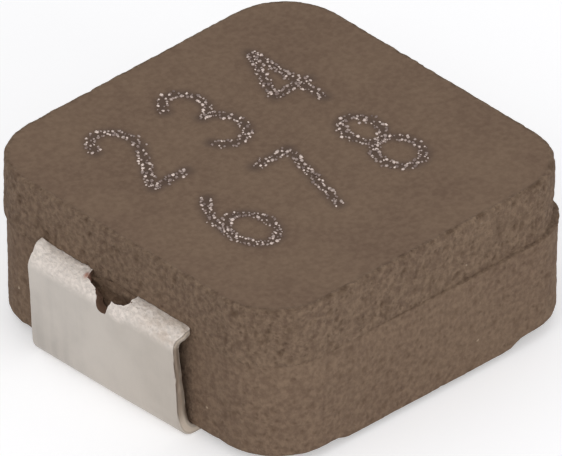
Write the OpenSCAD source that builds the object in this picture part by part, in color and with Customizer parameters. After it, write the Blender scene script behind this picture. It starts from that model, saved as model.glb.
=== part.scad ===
// Shielded inductor for surface mounting: a coil of flat wire pressed into a
// block of iron powder, with two strips of tinned copper folded down its ends.
// The strips lie along X, -Y is the front, +Z is up and z = 0 is the board.

/* [Pressed body] */
// Length of the body between the two terminal ends
body_l = 6.47; // [5.8:0.01:7.5]
// Width of the body across the terminals
body_w = 6.47; // [5.8:0.01:7.5]
// Height of the body from its underside to its top face
body_h = 2.72; // [2.5:0.01:3.4]
// Radius of the four upright corners
corner_r = 1.08; // [0.4:0.01:1.4]
// Height of the parting line, where the two dies met, above the underside
parting_h = 1.71; // [1.5:0.01:1.9]
// Lean of the walls below the parting line, in degrees
lower_draft = 1; // [0.5:0.1:3]
// Bevel along the top and bottom edges
edge_bevel = 0.05; // [0.02:0.01:0.12]
// Distance along X by which the lower die was out of line with the upper one
die_shift_x = 0.01; // [0.01:0.01:0.08]
// Distance towards the front by which the lower die was out of line
die_shift_y = 0.05; // [0.01:0.01:0.1]

/* [Terminals] */
// Width of the strip
strip_w = 3.14; // [2.6:0.01:3.8]
// Thickness of the strip
strip_t = 0.15; // [0.1:0.01:0.2]
// Inside radius of the two folds of a strip
fold_r = 0.18; // [0.1:0.01:0.25]
// Distance by which the strips lie behind the body's middle
strip_offset = 0.18; // [0:0.01:0.3]
// Air gap between the top of the upright leg and the body
leg_gap = 0.18; // [0.15:0.01:0.25]
// Lean of the leg, whose lower end stands closer to the body, in degrees
leg_lean = 4.8; // [0:0.1:5]
// Length of the foot, from the outside of the leg to the foot's free edge
foot_l = 1.6; // [1.2:0.01:1.9]
// Length of the tab that the body holds
tab_l = 0.75; // [0.6:0.01:0.9]

/* [Hole at the upper fold] */
// Width of the hole where the strip leaves the body
hole_w = 0.98; // [0.6:0.01:1.4]
// Length of the hole's full width, across the fold
shoulder_l = 0.14; // [0.05:0.01:0.15]
// Length from the fold's start to where the hole has narrowed to a slot
funnel_l = 0.3; // [0.2:0.01:0.35]
// Width of the slot in the leg
slot_w = 0.24; // [0.12:0.01:0.4]
// Depth of the slot's round end below the top of the strip
slot_depth = 0.4; // [0.4:0.01:0.7]

/* [Powder in the hole] */
// How far the powder has come out of the body
spill_l = 0.15; // [0.05:0.01:0.15]
// Height of the spilt powder's outer end
spill_h = 0.25; // [0.1:0.01:0.3]
// Depth of its outer end below the tab
spill_drop = 0.08; // [0.02:0.01:0.15]

/* [Seats for the feet] */
// Height of the body's underside above the board
standoff = 0.1; // [0.03:0.01:0.12]
// Air gap between a foot and the step above it
foot_gap = 0.02; // [0.01:0.01:0.05]
// Gap between the free edge of a foot and the end of its step
seat_end_gap = 0.2; // [0.05:0.01:0.4]

/* [Coil] */
// Number of whole turns
turns = 3; // [2:1:3]
// Middle radius of the turns
coil_r = 1.35; // [1.2:0.01:1.45]
// Radial width of the flat wire
wire_w = 0.85; // [0.6:0.01:0.95]
// Thickness of the flat wire
wire_t = 0.3; // [0.2:0.01:0.34]
// Gap between one turn and the next
turn_gap = 0.04; // [0.02:0.01:0.06]
// Height of the coil's middle above the body's underside
coil_h = 1.47; // [1.35:0.01:1.55]
// Length of wire that is welded under each tab
weld_l = 0.5; // [0.3:0.01:0.55]

/* [Hidden] */

// Circles of the body's corners, the folds and the hole
round_steps = 64;
// Stations in one turn of the coil, and along the slope of one lead
turn_steps = 48;
slope_steps = 8;
// Run of level wire between the foot of a lead's slope and the edge of the tab
level_run = 0.04;
// Reach of a cutting shape past the face that it cuts
cut_reach = 1;

// Heights above the board
parting_z = standoff + parting_h;
top_z = standoff + body_h;
strip_z = parting_z;
strip_top_z = strip_z + strip_t;

// Distances of the strip's parts from the middle, along X
end_x = (body_l + die_shift_x) / 2;
leg_x = end_x + leg_gap;
leg_outer_x = leg_x + strip_t;
fold_x = leg_x - fold_r;
outer_r = fold_r + strip_t;
leg_l = (strip_top_z - 2 * outer_r) / cos(leg_lean);
low_fold_x = fold_x - leg_l * sin(leg_lean);
tab_x = end_x - tab_l;
foot_x = leg_outer_x - foot_l;
seat_x = foot_x - seat_end_gap;

// The step over a foot clears the foot's upper face
seat_z = strip_t + foot_gap;

// Coil and leads: the wire lies under the tabs, and rises or falls to them
// only where it is clear of the turns
pitch = wire_t + turn_gap;
coil_z = standoff + coil_h;
lead_z = strip_z - wire_t / 2;
clear_x = sqrt(2 * coil_r * wire_w);
level_x = tab_x - level_run;
lead_end_x = tab_x + weld_l;

// Block with rounded upright corners. Its walls stand inside the outline
// l by w by inset_low at its lower face and by inset_high at its upper face.
module leaning_block(l, w, h, inset_low, inset_high) {
    module web(span, depth) {
        half = span / 2;
        rotate([90, 0, 0])
            linear_extrude(depth, center = true)
                polygon([
                    [inset_low - half, 0],
                    [half - inset_low, 0],
                    [half - inset_high, h],
                    [inset_high - half, h]
                ]);
    }
    web(l, w - 2 * corner_r);
    rotate([0, 0, 90]) web(w, l - 2 * corner_r);
    for (side_x = [-1, 1], side_y = [-1, 1])
        translate([side_x * (l / 2 - corner_r), side_y * (w / 2 - corner_r), 0])
            cylinder(h = h, r1 = corner_r - inset_low, r2 = corner_r - inset_high, $fn = round_steps);
}

// What the upper die pressed: straight walls and a bevelled top edge
module upper_half() {
    wall_h = body_h - parting_h - edge_bevel;
    translate([-die_shift_x / 2, die_shift_y / 2, parting_z]) {
        leaning_block(body_l, body_w, wall_h, 0, 0);
        translate([0, 0, wall_h]) leaning_block(body_l, body_w, edge_bevel, 0, edge_bevel);
    }
}

// What the lower die pressed: walls that lean in towards the underside
module lower_half() {
    lean = tan(lower_draft);
    wall_inset = lean * (parting_h - edge_bevel);
    translate([die_shift_x / 2, -die_shift_y / 2, standoff]) {
        leaning_block(body_l, body_w, edge_bevel, wall_inset + edge_bevel, wall_inset);
        translate([0, 0, edge_bevel])
            leaning_block(body_l, body_w, parting_h - edge_bevel, wall_inset, 0);
    }
}

// Step across the underside that makes room for the foot at +X
module foot_seat() {
    translate([seat_x, -body_w / 2 - cut_reach, standoff - cut_reach])
        cube([end_x - seat_x + cut_reach, body_w + 2 * cut_reach, seat_z - standoff + cut_reach]);
}

// Powder that has come out through the strip's hole at +X and slopes down to
// the leg
module spilt_powder() {
    outer_z = strip_z - spill_drop;
    root_x = end_x - hole_w / 2;
    root_z = outer_z - 2 * spill_h;
    translate([0, strip_offset, 0])
        rotate([90, 0, 0])
            linear_extrude(hole_w, center = true)
                polygon([
                    [root_x, root_z],
                    [end_x, root_z],
                    [end_x + spill_l, outer_z - spill_h],
                    [end_x + spill_l, outer_z],
                    [end_x, strip_top_z - edge_bevel],
                    [root_x, strip_top_z - edge_bevel]
                ]);
}

// The powder is pressed round the coil and the tabs, and fills all the room
// that they leave
module pressed_body() {
    color([0.46, 0.39, 0.33])
        difference() {
            union() {
                upper_half();
                lower_half();
                spilt_powder();
                mirror([1, 0, 0]) spilt_powder();
            }
            foot_seat();
            mirror([1, 0, 0]) foot_seat();
            coil();
            terminal_left();
            terminal_right();
        }
}

// Fold of the strip about the point (x, z), through a turn from the angle start
module fold(x, z, start, turn) {
    translate([x, 0, z])
        rotate([90, 0, 0])
            rotate([0, 0, start])
                rotate_extrude(angle = turn, $fn = round_steps)
                    translate([fold_r, -strip_w / 2]) square([strip_t, strip_w]);
}

// Level stretch of the strip from x1 to x2, with its underside at the height z
module stretch(x1, x2, z) {
    translate([x1, -strip_w / 2, z]) cube([x2 - x1, strip_w, strip_t]);
}

// Locking hole of the strip: half round inside the body, full width and then a
// funnel over the fold, and a slot with a round end in the leg
module locking_hole() {
    fold_z = strip_top_z - outer_r;
    slot_r = slot_w / 2;
    mouth_y = outer_r / sqrt(2);
    translate([end_x, 0, strip_z - strip_t])
        rotate([0, 0, 90])
            rotate_extrude(angle = 180, $fn = round_steps) square([hole_w / 2, 3 * strip_t]);
    translate([fold_x, 0, fold_z])
        rotate([0, -45, 0])
            rotate([90, 0, 90])
                linear_extrude(cut_reach)
                    polygon([
                        [-hole_w / 2, outer_r],
                        [-hole_w / 2, mouth_y - shoulder_l],
                        [-slot_r, mouth_y - funnel_l],
                        [slot_r, mouth_y - funnel_l],
                        [hole_w / 2, mouth_y - shoulder_l],
                        [hole_w / 2, outer_r]
                    ]);
    translate([fold_x, 0, strip_top_z - slot_depth + slot_r])
        rotate([90, 0, 90]) {
            translate([-slot_r, 0, 0]) cube([slot_w, slot_depth - slot_r, cut_reach]);
            cylinder(h = cut_reach, r = slot_r, $fn = round_steps);
        }
}

// Strip at +X: tab in the body, fold, leaning leg, fold and foot under the body
module terminal_strip() {
    translate([0, strip_offset, 0])
        difference() {
            union() {
                stretch(tab_x, fold_x, strip_z);
                fold(fold_x, strip_top_z - outer_r, -leg_lean, 90 + leg_lean);
                translate([low_fold_x, 0, outer_r])
                    rotate([0, leg_lean, 0])
                        translate([fold_r, -strip_w / 2, 0]) cube([strip_t, strip_w, leg_l]);
                fold(low_fold_x, outer_r, -90, 90 - leg_lean);
                stretch(foot_x, low_fold_x, 0);
            }
            locking_hole();
        }
}

module terminal_left() {
    color([0.77, 0.75, 0.71]) mirror([1, 0, 0]) terminal_strip();
}

module terminal_right() {
    color([0.77, 0.75, 0.71]) terminal_strip();
}

// Middle line of the wire, as stations [point, heading, climb] with angles in
// degrees. It comes from +X, winds upwards and leaves towards -X.
function slope_share(x) = max(0, min(1, (x - clear_x) / (level_x - clear_x)));
function lead_start_z(side) =
    coil_z - side * pitch * (turns / 2 + clear_x / (2 * PI * coil_r));
function lead_point_z(side, x) =
    x < clear_x
        ? coil_z - side * pitch * (turns / 2 + x / (2 * PI * coil_r))
        : lead_start_z(side) + (lead_z - lead_start_z(side)) * (1 - cos(180 * slope_share(x))) / 2;
function lead_climb(side, x) =
    atan((lead_z - lead_start_z(side)) / (level_x - clear_x) * PI / 2 * sin(180 * slope_share(x)));
function lead_station(side, x) =
    [[side * x, coil_r, lead_point_z(side, x)], 180, -side * lead_climb(side, x)];
function turn_station(angle) =
    [
        [coil_r * cos(angle + 90), coil_r * sin(angle + 90), coil_z + pitch * (angle / 360 - turns / 2)],
        angle + 180,
        0
    ];

// Distances along a lead, from the coil outwards
lead_xs = [
    clear_x / 2,
    for (i = [0 : slope_steps]) clear_x + (level_x - clear_x) * i / slope_steps,
    lead_end_x
];
last_x = len(lead_xs) - 1;
wire_stations = [
    for (i = [0 : last_x]) lead_station(1, lead_xs[last_x - i]),
    for (i = [0 : turns * turn_steps]) turn_station(360 * i / turn_steps),
    for (x = lead_xs) lead_station(-1, x)
];

// Four corners of the wire at a station
function wire_corners(station) =
    let (
        heading = station[1],
        climb = station[2],
        across = [sin(heading), -cos(heading), 0] * wire_w / 2,
        up = [-cos(heading) * sin(climb), -sin(heading) * sin(climb), cos(climb)] * wire_t / 2
    )
    [
        station[0] + across - up,
        station[0] + across + up,
        station[0] - across + up,
        station[0] - across - up
    ];

// Two triangles for each side of the wire between stations i and i + 1
function wire_sides(i) = [
    for (j = [0 : 3], half = [0, 1])
        let (a = 4 * i + j, b = 4 * i + (j + 1) % 4)
            half == 0 ? [a, b, b + 4] : [a, b + 4, a + 4]
];

// Edge-wound coil with its two leads, in one length of flat wire
module coil() {
    last = len(wire_stations) - 1;
    color([0.72, 0.45, 0.28])
        polyhedron(
            points = [for (station = wire_stations) each wire_corners(station)],
            faces = [
                [3, 2, 1, 0],
                for (i = [0 : last - 1]) each wire_sides(i),
                [4 * last, 4 * last + 1, 4 * last + 2, 4 * last + 3]
            ]
        );
}

pressed_body();
coil();
terminal_left();
terminal_right();
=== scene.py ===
"""Looks of a shielded inductor for surface mounting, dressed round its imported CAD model.

Lengths are in metres, in the frame of the CAD model: the strips lie along X, -Y is the
front and +Z is up from the board. The file is laid out as an add-on and run as a script.
"""

import math
import random

import bmesh
import bpy
import numpy as np
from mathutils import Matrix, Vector, kdtree, noise


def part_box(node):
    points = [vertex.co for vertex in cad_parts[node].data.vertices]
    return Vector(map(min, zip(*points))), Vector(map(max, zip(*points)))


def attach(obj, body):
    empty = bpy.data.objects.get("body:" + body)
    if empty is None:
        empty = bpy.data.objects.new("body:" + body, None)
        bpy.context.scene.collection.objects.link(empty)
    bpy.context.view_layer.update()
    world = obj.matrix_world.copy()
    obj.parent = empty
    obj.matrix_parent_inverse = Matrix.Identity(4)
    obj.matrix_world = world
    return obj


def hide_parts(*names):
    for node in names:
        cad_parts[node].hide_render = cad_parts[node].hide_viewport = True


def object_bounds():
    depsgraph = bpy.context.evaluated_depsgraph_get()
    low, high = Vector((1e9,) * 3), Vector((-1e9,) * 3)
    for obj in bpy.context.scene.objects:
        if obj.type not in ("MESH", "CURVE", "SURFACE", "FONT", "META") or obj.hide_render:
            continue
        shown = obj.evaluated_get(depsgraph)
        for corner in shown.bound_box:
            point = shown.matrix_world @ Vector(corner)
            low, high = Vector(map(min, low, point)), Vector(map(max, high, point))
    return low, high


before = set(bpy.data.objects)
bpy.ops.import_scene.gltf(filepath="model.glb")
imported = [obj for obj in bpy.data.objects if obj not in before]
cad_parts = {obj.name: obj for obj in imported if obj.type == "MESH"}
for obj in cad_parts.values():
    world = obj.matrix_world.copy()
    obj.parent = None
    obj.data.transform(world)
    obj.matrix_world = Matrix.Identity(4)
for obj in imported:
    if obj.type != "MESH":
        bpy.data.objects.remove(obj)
CAD_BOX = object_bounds()

bl_info = {
    "name": "Pressed Powder Inductor",
    "version": (1, 0, 0),
    "blender": (4, 5, 0),
    "location": "View3D > Sidebar > Inductor",
    "description": "Makes the pressed block, folded strips, marking and coil finish of a shielded inductor",
    "category": "Add Mesh",
}

MM = 0.001

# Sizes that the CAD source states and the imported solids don't give directly
CORNER_RADIUS = 1.08 * MM
EDGE_BEVEL = 0.05 * MM
DIE_SHIFT_X = 0.01 * MM
DIE_SHIFT_Y = 0.05 * MM
LOWER_DRAFT = math.radians(1)
SEAT_DEPTH = 0.07 * MM
SEAT_END_GAP = 0.2 * MM
STRIP_THICKNESS = 0.15 * MM
TAB_LENGTH = 0.75 * MM
FOLD_RADIUS = 0.18 * MM
LEG_LEAN = math.radians(4.8)
HOLE_WIDTH = 0.98 * MM
SLOT_WIDTH = 0.24 * MM
SLOT_DEPTH = 0.4 * MM

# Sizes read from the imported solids
BODY_LOW, BODY_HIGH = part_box("pressed_body")
STRIP_LOW, STRIP_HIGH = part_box("terminal_right")
BODY_HALF = (BODY_HIGH.y - BODY_LOW.y - DIE_SHIFT_Y) / 2
PARTING_Z = STRIP_HIGH.z - STRIP_THICKNESS
SEAT_X = STRIP_LOW.x - SEAT_END_GAP
STRIP_WIDTH = STRIP_HIGH.y - STRIP_LOW.y
STRIP_MIDDLE_Y = (STRIP_HIGH.y + STRIP_LOW.y) / 2
FOLD_X = STRIP_HIGH.x - STRIP_THICKNESS - FOLD_RADIUS
MIDDLE_RADIUS = FOLD_RADIUS + STRIP_THICKNESS / 2
OUTER_RADIUS = FOLD_RADIUS + STRIP_THICKNESS
UPPER_RUN = MIDDLE_RADIUS * (math.pi / 2 + LEG_LEAN)
LOWER_RUN = MIDDLE_RADIUS * (math.pi / 2 - LEG_LEAN)
LEG_LENGTH = (STRIP_HIGH.z - 2 * OUTER_RADIUS) / math.cos(LEG_LEAN)
FOOT_LENGTH = FOLD_X - LEG_LENGTH * math.sin(LEG_LEAN) - STRIP_LOW.x


def linear(red, green, blue):
    """Linear colour of an 8-bit display colour."""
    shares = (red / 255, green / 255, blue / 255)
    return tuple(s / 12.92 if s <= 0.04045 else ((s + 0.055) / 1.055) ** 2.4 for s in shares)


def length(name, description, default, **limits):
    """Property of a small length."""
    return bpy.props.FloatProperty(
        name=name, description=description, default=default, unit="LENGTH", precision=6, **limits
    )


def colour(name, description, red, green, blue):
    """Property of a plain colour, whose default is given as an 8-bit display colour."""
    return bpy.props.FloatVectorProperty(
        name=name, description=description, default=linear(red, green, blue), subtype="COLOR", min=0, max=1
    )


# ---- settings


class PowderSettings(bpy.types.PropertyGroup):
    """Sizes and colours of the pressed block."""

    cells: bpy.props.IntProperty(
        name="Cells", description="Mesh cells along one side of the block", default=148, min=20, max=160
    )
    grain_size: length("Grain Size", "Width of the lumps on the walls", 0.1 * MM)
    grain_height: length("Grain Height", "Height of the lumps on the walls", 0.011 * MM)
    pit_size: length("Pit Size", "Spacing of the pits in the walls", 0.17 * MM)
    pit_depth: length("Pit Depth", "Depth of the deepest pits", 0.03 * MM)
    flash: length("Flash", "How far the flash stands out along the parting line", 0.045 * MM)
    groove: length("Groove", "Depth of the groove above the parting line", 0.013 * MM)
    seat_slope: length("Seat Slope", "Half the length of the slope at the end of a foot's seat", 0.15 * MM)
    powder: colour("Powder", "Main colour of the powder", 122, 101, 84)
    dark: colour("Dark Powder", "Colour of the darker patches", 113, 92, 77)
    pale: colour("Pale Powder", "Colour of the paler grains", 149, 126, 105)
    # painted shade: the colour that the pits, groove, chips, cracks and dark dots are darkened towards
    shaded_pit: colour("Pits", "Colour down in the pits", 80, 59, 43)
    scorch: colour("Scorch", "Colour of the powder burnt round the marking", 92, 76, 67)


class StripSettings(bpy.types.PropertyGroup):
    """Sizes and colours of the two strips."""

    spacing: length("Mesh Spacing", "Length of one mesh cell", 0.025 * MM, min=0.02 * MM)
    swell: length("Swell", "How far the leg's lower end stands out at its front edge", 0.045 * MM)
    ripple: length("Ripple", "Height of the slow waves of the leg", 0.008 * MM)
    crackle: length("Crackle", "Height of the roughness of the upper fold", 0.007 * MM)
    raggedness: length("Raggedness", "How far the edges of the hole wander", 0.022 * MM)
    ear: length("Ear", "Height of the burr at the back end of the upper fold", 0.07 * MM)
    tin: colour("Tin", "Colour of the plating", 196, 189, 181)
    stretched: colour("Stretched Tin", "Colour of the plating over the upper fold", 252, 241, 232)
    stain: colour("Stain", "Colour of the worn plating at the front of the upper fold", 172, 142, 108)
    edge: colour("Cut Edge", "Colour of the pale metal in the sheared edges", 212, 198, 182)
    # powder smeared on the hole's walls, made darker with painted shade for the shaded cavity
    smear_and_shade: colour("Torn Edge", "Colour of the hole's smeared walls", 104, 78, 61)
    copper: colour("Copper", "Colour where the copper shows", 178, 130, 112)


class MarkingSettings(bpy.types.PropertyGroup):
    """Text and sizes of the burnt marking."""

    rows: bpy.props.StringProperty(
        name="Rows", description="Digits from 2, 3, 4, 6, 7 and 8, with a space between the rows",
        default="234 678",
    )
    middle: bpy.props.FloatVectorProperty(
        name="Middle", description="Middle of the marking on the top face", size=2,
        default=(-0.13 * MM, 0.38 * MM), subtype="TRANSLATION", precision=6,
    )
    digit_width: length("Digit Width", "Width of a digit", 0.74 * MM)
    digit_height: length("Digit Height", "Height of a digit", 1.6 * MM)
    digit_pitch: length("Digit Pitch", "Distance from one digit to the next", 1.5 * MM)
    row_pitch: length("Row Pitch", "Distance from one row to the next", 2.24 * MM)
    line_gap: length("Line Gap", "Distance between the two lines of beads in a stroke", 0.11 * MM)
    bead_size: length("Bead Size", "Middle radius of a bead", 0.022 * MM)
    scorch_reach: length("Scorch Reach", "How far the powder is burnt round a stroke", 0.21 * MM)
    # painted glints: the beads that catch the light are painted this pale colour
    bead: colour("Beads", "Colour of the brightest beads", 226, 209, 200)
    dull_bead: colour("Dull Beads", "Colour of the stained beads", 138, 119, 112)


class StageSettings(bpy.types.PropertyGroup):
    """Light, floor and viewing angle."""

    azimuth: bpy.props.FloatProperty(
        name="Azimuth", description="Angle of the camera round the part, from the front towards the right",
        default=math.radians(-43.47), subtype="ANGLE",
    )
    elevation: bpy.props.FloatProperty(
        name="Elevation", description="Angle of the camera above the horizon",
        default=math.radians(34.46), subtype="ANGLE",
    )
    view_width: length("View Width", "Width of the view", 8.411 * MM)
    aim: bpy.props.FloatVectorProperty(
        name="Aim", description="Point in the middle of the view",
        default=(0.023 * MM, 0.021 * MM, 1.496 * MM), subtype="TRANSLATION", precision=6,
    )
    floor: colour("Floor", "Colour of the floor and of what lies behind", 240, 240, 242)


# ---- noise and meshes


def lumps(points, size, seed=0):
    """Smooth noise from about -1 to 1 at each point, with lumps of the given size."""
    shift = Vector((seed * 7.3, seed * 3.1, seed * 5.7))
    return np.array([noise.noise(Vector(p) / size + shift) for p in points])


def pits(points, size, share, seed=0):
    """Round pits scattered over the points: 0 between them, up to 1 in the middle of one.

    share is the part of the noise cells that hold a pit.
    """
    shift = Vector((seed * 4.7, seed * 8.3, seed * 2.9))
    found = np.zeros(len(points))
    for i, p in enumerate(points):
        distances, centres = noise.voronoi(Vector(p) / size + shift)
        if noise.cell(centres[0] * 3.7) < share * 2 - 1:
            found[i] = max(0.0, 1 - distances[0] / 0.42)
    return found


def smooth_step(low, high, values):
    """0 below low and 1 above high, with a soft change between them."""
    t = np.clip((values - low) / (high - low), 0, 1)
    return t * t * (3 - 2 * t)


def new_object(name, data):
    """Object of the scene that shows a mesh, a lamp or a camera."""
    made = bpy.data.objects.new(name, data)
    bpy.context.scene.collection.objects.link(made)
    return made


def store(mesh, key, values, domain="POINT"):
    """Stores a value for each point or face of a mesh."""
    layer = mesh.attributes.new(key, "FLOAT", domain)
    layer.data.foreach_set("value", np.asarray(values, np.float32))


def coordinates(mesh):
    """Coordinates of the points of a mesh, one row each."""
    found = np.zeros(len(mesh.vertices) * 3, np.float32)
    mesh.vertices.foreach_get("co", found)
    return found.reshape(-1, 3).astype(float)


def new_piece(name, points, faces, attributes=None):
    """Mesh object made of points and faces, riding on the one CAD body."""
    mesh = bpy.data.meshes.new(name)
    mesh.from_pydata([tuple(p) for p in points], [], faces)
    for key, values in (attributes or {}).items():
        store(mesh, key, values)
    mesh.update()
    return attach(new_object(name, mesh), "root")


def coat(piece, material):
    """Gives a piece its one material."""
    piece.data.materials.clear()
    piece.data.materials.append(material)


def combine(piece, others, operation):
    """Adds closed meshes to a closed mesh, or takes them out of it, and keeps its attributes."""
    for other in others:
        step = piece.modifiers.new("combine", "BOOLEAN")
        step.operation = operation
        step.solver = "EXACT"
        step.object = other
    graph = bpy.context.evaluated_depsgraph_get()
    made = bpy.data.meshes.new_from_object(piece.evaluated_get(graph))
    piece.modifiers.clear()
    piece.data = made


def smooth_faces(piece, angle=50):
    """Smooth shading that breaks only at folds sharper than angle, in degrees."""
    piece.data.shade_smooth()
    piece.data.set_sharp_from_angle(angle=math.radians(angle))


# ---- pressed block


def rounded_square(u, v, half, radius):
    """Maps points of the square from -1 to 1 onto a rounded square, evenly along its outline.

    Returns x, y and the outward direction of the nearest wall.
    """
    level = np.maximum(np.abs(u), np.abs(v))
    share = np.where(level > 0, level, 1)
    by_front = np.abs(v) >= np.abs(u)
    straight = half - radius
    run = np.where(by_front, u, v) / share * (straight + radius * math.pi / 4)
    turn = np.maximum(np.abs(run) - straight, 0) / radius
    side = np.where(by_front, np.sign(v), np.sign(u))
    along = level * (np.sign(run) * (np.minimum(np.abs(run), straight) + radius * np.sin(turn)))
    across = level * (side * (half - radius + radius * np.cos(turn)))
    out_along, out_across = np.sign(run) * np.sin(turn), side * np.cos(turn)
    x, out_x = np.where(by_front, (along, out_along), (across, out_across))
    y, out_y = np.where(by_front, (across, out_across), (along, out_along))
    return x, y, out_x, out_y


def wall_rows(spacing):
    """Rows round the walls from the underside up: height, inset and 1 for the upper die."""
    lean = math.tan(LOWER_DRAFT)
    low, top = BODY_LOW.z, BODY_HIGH.z
    edge = np.array([1, 0.6, 0.25]) * EDGE_BEVEL
    rise = np.array([0, 0.1, 0.4]) * EDGE_BEVEL
    lower = np.linspace(low + EDGE_BEVEL, PARTING_Z - 0.03 * MM, round((PARTING_Z - low) / spacing))
    upper = np.linspace(PARTING_Z + 0.035 * MM, top - EDGE_BEVEL, round((top - PARTING_Z) / spacing))
    rows = [(low + r, e + lean * (PARTING_Z - low - r), 0) for r, e in zip(rise, edge)]
    rows += [(z, lean * (PARTING_Z - z), 0) for z in lower]
    rows += [(PARTING_Z - 0.014 * MM, 0, 0), (PARTING_Z - 0.003 * MM, 0.006 * MM, 0)]
    rows += [(PARTING_Z + 0.003 * MM, 0, 1), (PARTING_Z + 0.018 * MM, 0, 1)]
    rows += [(z, 0, 1) for z in upper]
    rows += [(top - r, e, 1) for r, e in zip(rise[::-1], edge[::-1])]
    return rows


def seat_lift(x, y, slope):
    """How far the underside is raised over the feet, and a little more at the worn front corner."""
    over_foot = smooth_step(SEAT_X - slope, SEAT_X + slope, np.abs(x))
    worn = smooth_step(SEAT_X - slope, SEAT_X + 2 * slope, x) * smooth_step(-2 * MM, -2.8 * MM, y)
    return SEAT_DEPTH * over_foot + 0.05 * MM * worn


def pressed_level(u, v, z, inset, upper, slope):
    """Points at one height of the block, as one of the two dies pressed them, and the way they face."""
    x, y, out_x, out_y = rounded_square(u, v, BODY_HALF - inset, CORNER_RADIUS - inset)
    shift = -0.5 if upper else 0.5
    x = x + shift * DIE_SHIFT_X
    y = y - shift * DIE_SHIFT_Y
    share = (PARTING_Z - min(z, PARTING_Z)) / (PARTING_Z - BODY_LOW.z)
    points = np.stack([x, y, z + seat_lift(x, y, slope) * share], axis=1)
    return points, np.stack([out_x, out_y, 0 * x], axis=1)


def block_grid(cells, slope):
    """Points and faces of the smooth block, with each point's outward direction and coarseness."""
    ticks = np.linspace(-1, 1, cells + 1)
    ones = np.ones(cells)
    ring_u = np.concatenate([ticks[:-1], ones, ticks[:0:-1], -ones])
    ring_v = np.concatenate([-ones, ticks[:-1], ones, ticks[:0:-1]])
    across = len(ring_u)
    points, outward, coarse = [], [], []
    rows = wall_rows(2 * BODY_HALF / cells)
    for z, inset, upper in rows:
        level, facing = pressed_level(ring_u, ring_v, z, inset, upper, slope)
        points.append(level)
        outward.append(facing)
        coarse.append(np.full(across, 1.0 if upper else 0.6))
    faces = ring_faces(len(rows), across)
    count = len(rows) * across
    inner_u, inner_v = (g.ravel() for g in np.meshgrid(ticks[1:-1], ticks[1:-1], indexing="ij"))
    for z, upper in ((BODY_LOW.z, 0), (BODY_HIGH.z, 1)):
        inset = EDGE_BEVEL if upper else EDGE_BEVEL + math.tan(LOWER_DRAFT) * (PARTING_Z - BODY_LOW.z)
        level, _ = pressed_level(inner_u, inner_v, z, inset, upper, slope)
        points.append(level)
        outward.append(np.tile((0, 0, 1 if upper else -1), (len(level), 1)))
        coarse.append(np.full(len(level), 0.0 if upper else 0.3))
        first_ring = (len(rows) - 1) * across if upper else 0
        faces += cap_faces(cells, first_ring, count, upper)
        count += len(level)
    return np.concatenate(points), np.concatenate(outward), np.concatenate(coarse), faces


def ring_faces(rings, across):
    """Quads between neighbouring closed rings of points."""
    return [
        (first + i, first + (i + 1) % across, first + across + (i + 1) % across, first + across + i)
        for first in range(0, (rings - 1) * across, across)
        for i in range(across)
    ]


def tube_faces(rings, across):
    """Quads of a closed tube of rings, facing the other way than ring_faces does, and its two ends."""
    last = (rings - 1) * across
    sides = [(a, d, c, b) for a, b, c, d in ring_faces(rings, across)]
    return sides + [tuple(range(across)), tuple(range(last, last + across))[::-1]]


def cap_faces(cells, ring, inner, upper):
    """Quads of the flat top or underside, from the first point of its ring and of its inner grid."""

    def index(i, j):
        if j == 0:
            return ring + i
        if i == cells:
            return ring + cells + j
        if j == cells:
            return ring + 3 * cells - i
        if i == 0:
            return ring + (4 * cells - j) % (4 * cells)
        return inner + (i - 1) * (cells - 1) + j - 1

    quads = []
    for i in range(cells):
        for j in range(cells):
            quad = (index(i, j), index(i + 1, j), index(i + 1, j + 1), index(i, j + 1))
            quads.append(quad if upper else quad[::-1])
    return quads


def parting_line(points, outward):
    """Four shares at each wall point: open groove, flash, lost ledge and pinched corner."""
    x, above = points[:, 0], points[:, 2] - PARTING_Z
    groove_width, flash_width, flash_drop = 0.022 * MM, 0.012 * MM, 0.006 * MM
    ragged = np.clip(0.55 + 0.9 * lumps(points, 0.12 * MM, 5) + 0.4 * lumps(points, 0.5 * MM, 6), 0, 1)
    open_line = 1 - 0.85 * smooth_step(0.2, 0.8, -outward[:, 0])
    open_line *= 1 - 0.6 * smooth_step(0.5, 0.9, -outward[:, 1]) * smooth_step(-0.6 * MM, -2.8 * MM, x)
    groove = np.exp(-((above / groove_width) ** 2)) * (above > 0) * ragged * open_line
    at_corner = smooth_step(0.85, 1, np.abs(outward[:, 0] - outward[:, 1]) / math.sqrt(2))
    flash = np.exp(-(((above + flash_drop) / flash_width) ** 2)) * (above < 0)
    flash *= 0.15 * open_line * ragged + 0.85 * at_corner * (0.5 + 0.5 * ragged)
    no_ledge = smooth_step(1.6 * MM, -1.6 * MM, x) * np.maximum(-outward[:, 1], 0) * (above < 0)
    no_ledge *= np.exp(-((above / (0.35 * MM)) ** 2))
    pinch = smooth_step(0.7 * MM, 0, above) * (above > 0) * (outward[:, 0] > 0) * at_corner
    return groove, flash, no_ledge, pinch


def edge_chips(points, outward):
    """How chipped each point is along the top edge, most of all at the front."""
    below_top = (points[:, 2] - BODY_HIGH.z + 0.015 * MM) / (0.034 * MM)
    broken = smooth_step(-0.1, 0.4, lumps(points, 0.17 * MM, 7))
    return np.exp(-(below_top**2)) * broken * (0.3 + 0.7 * (outward[:, 1] < -0.5))


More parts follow.
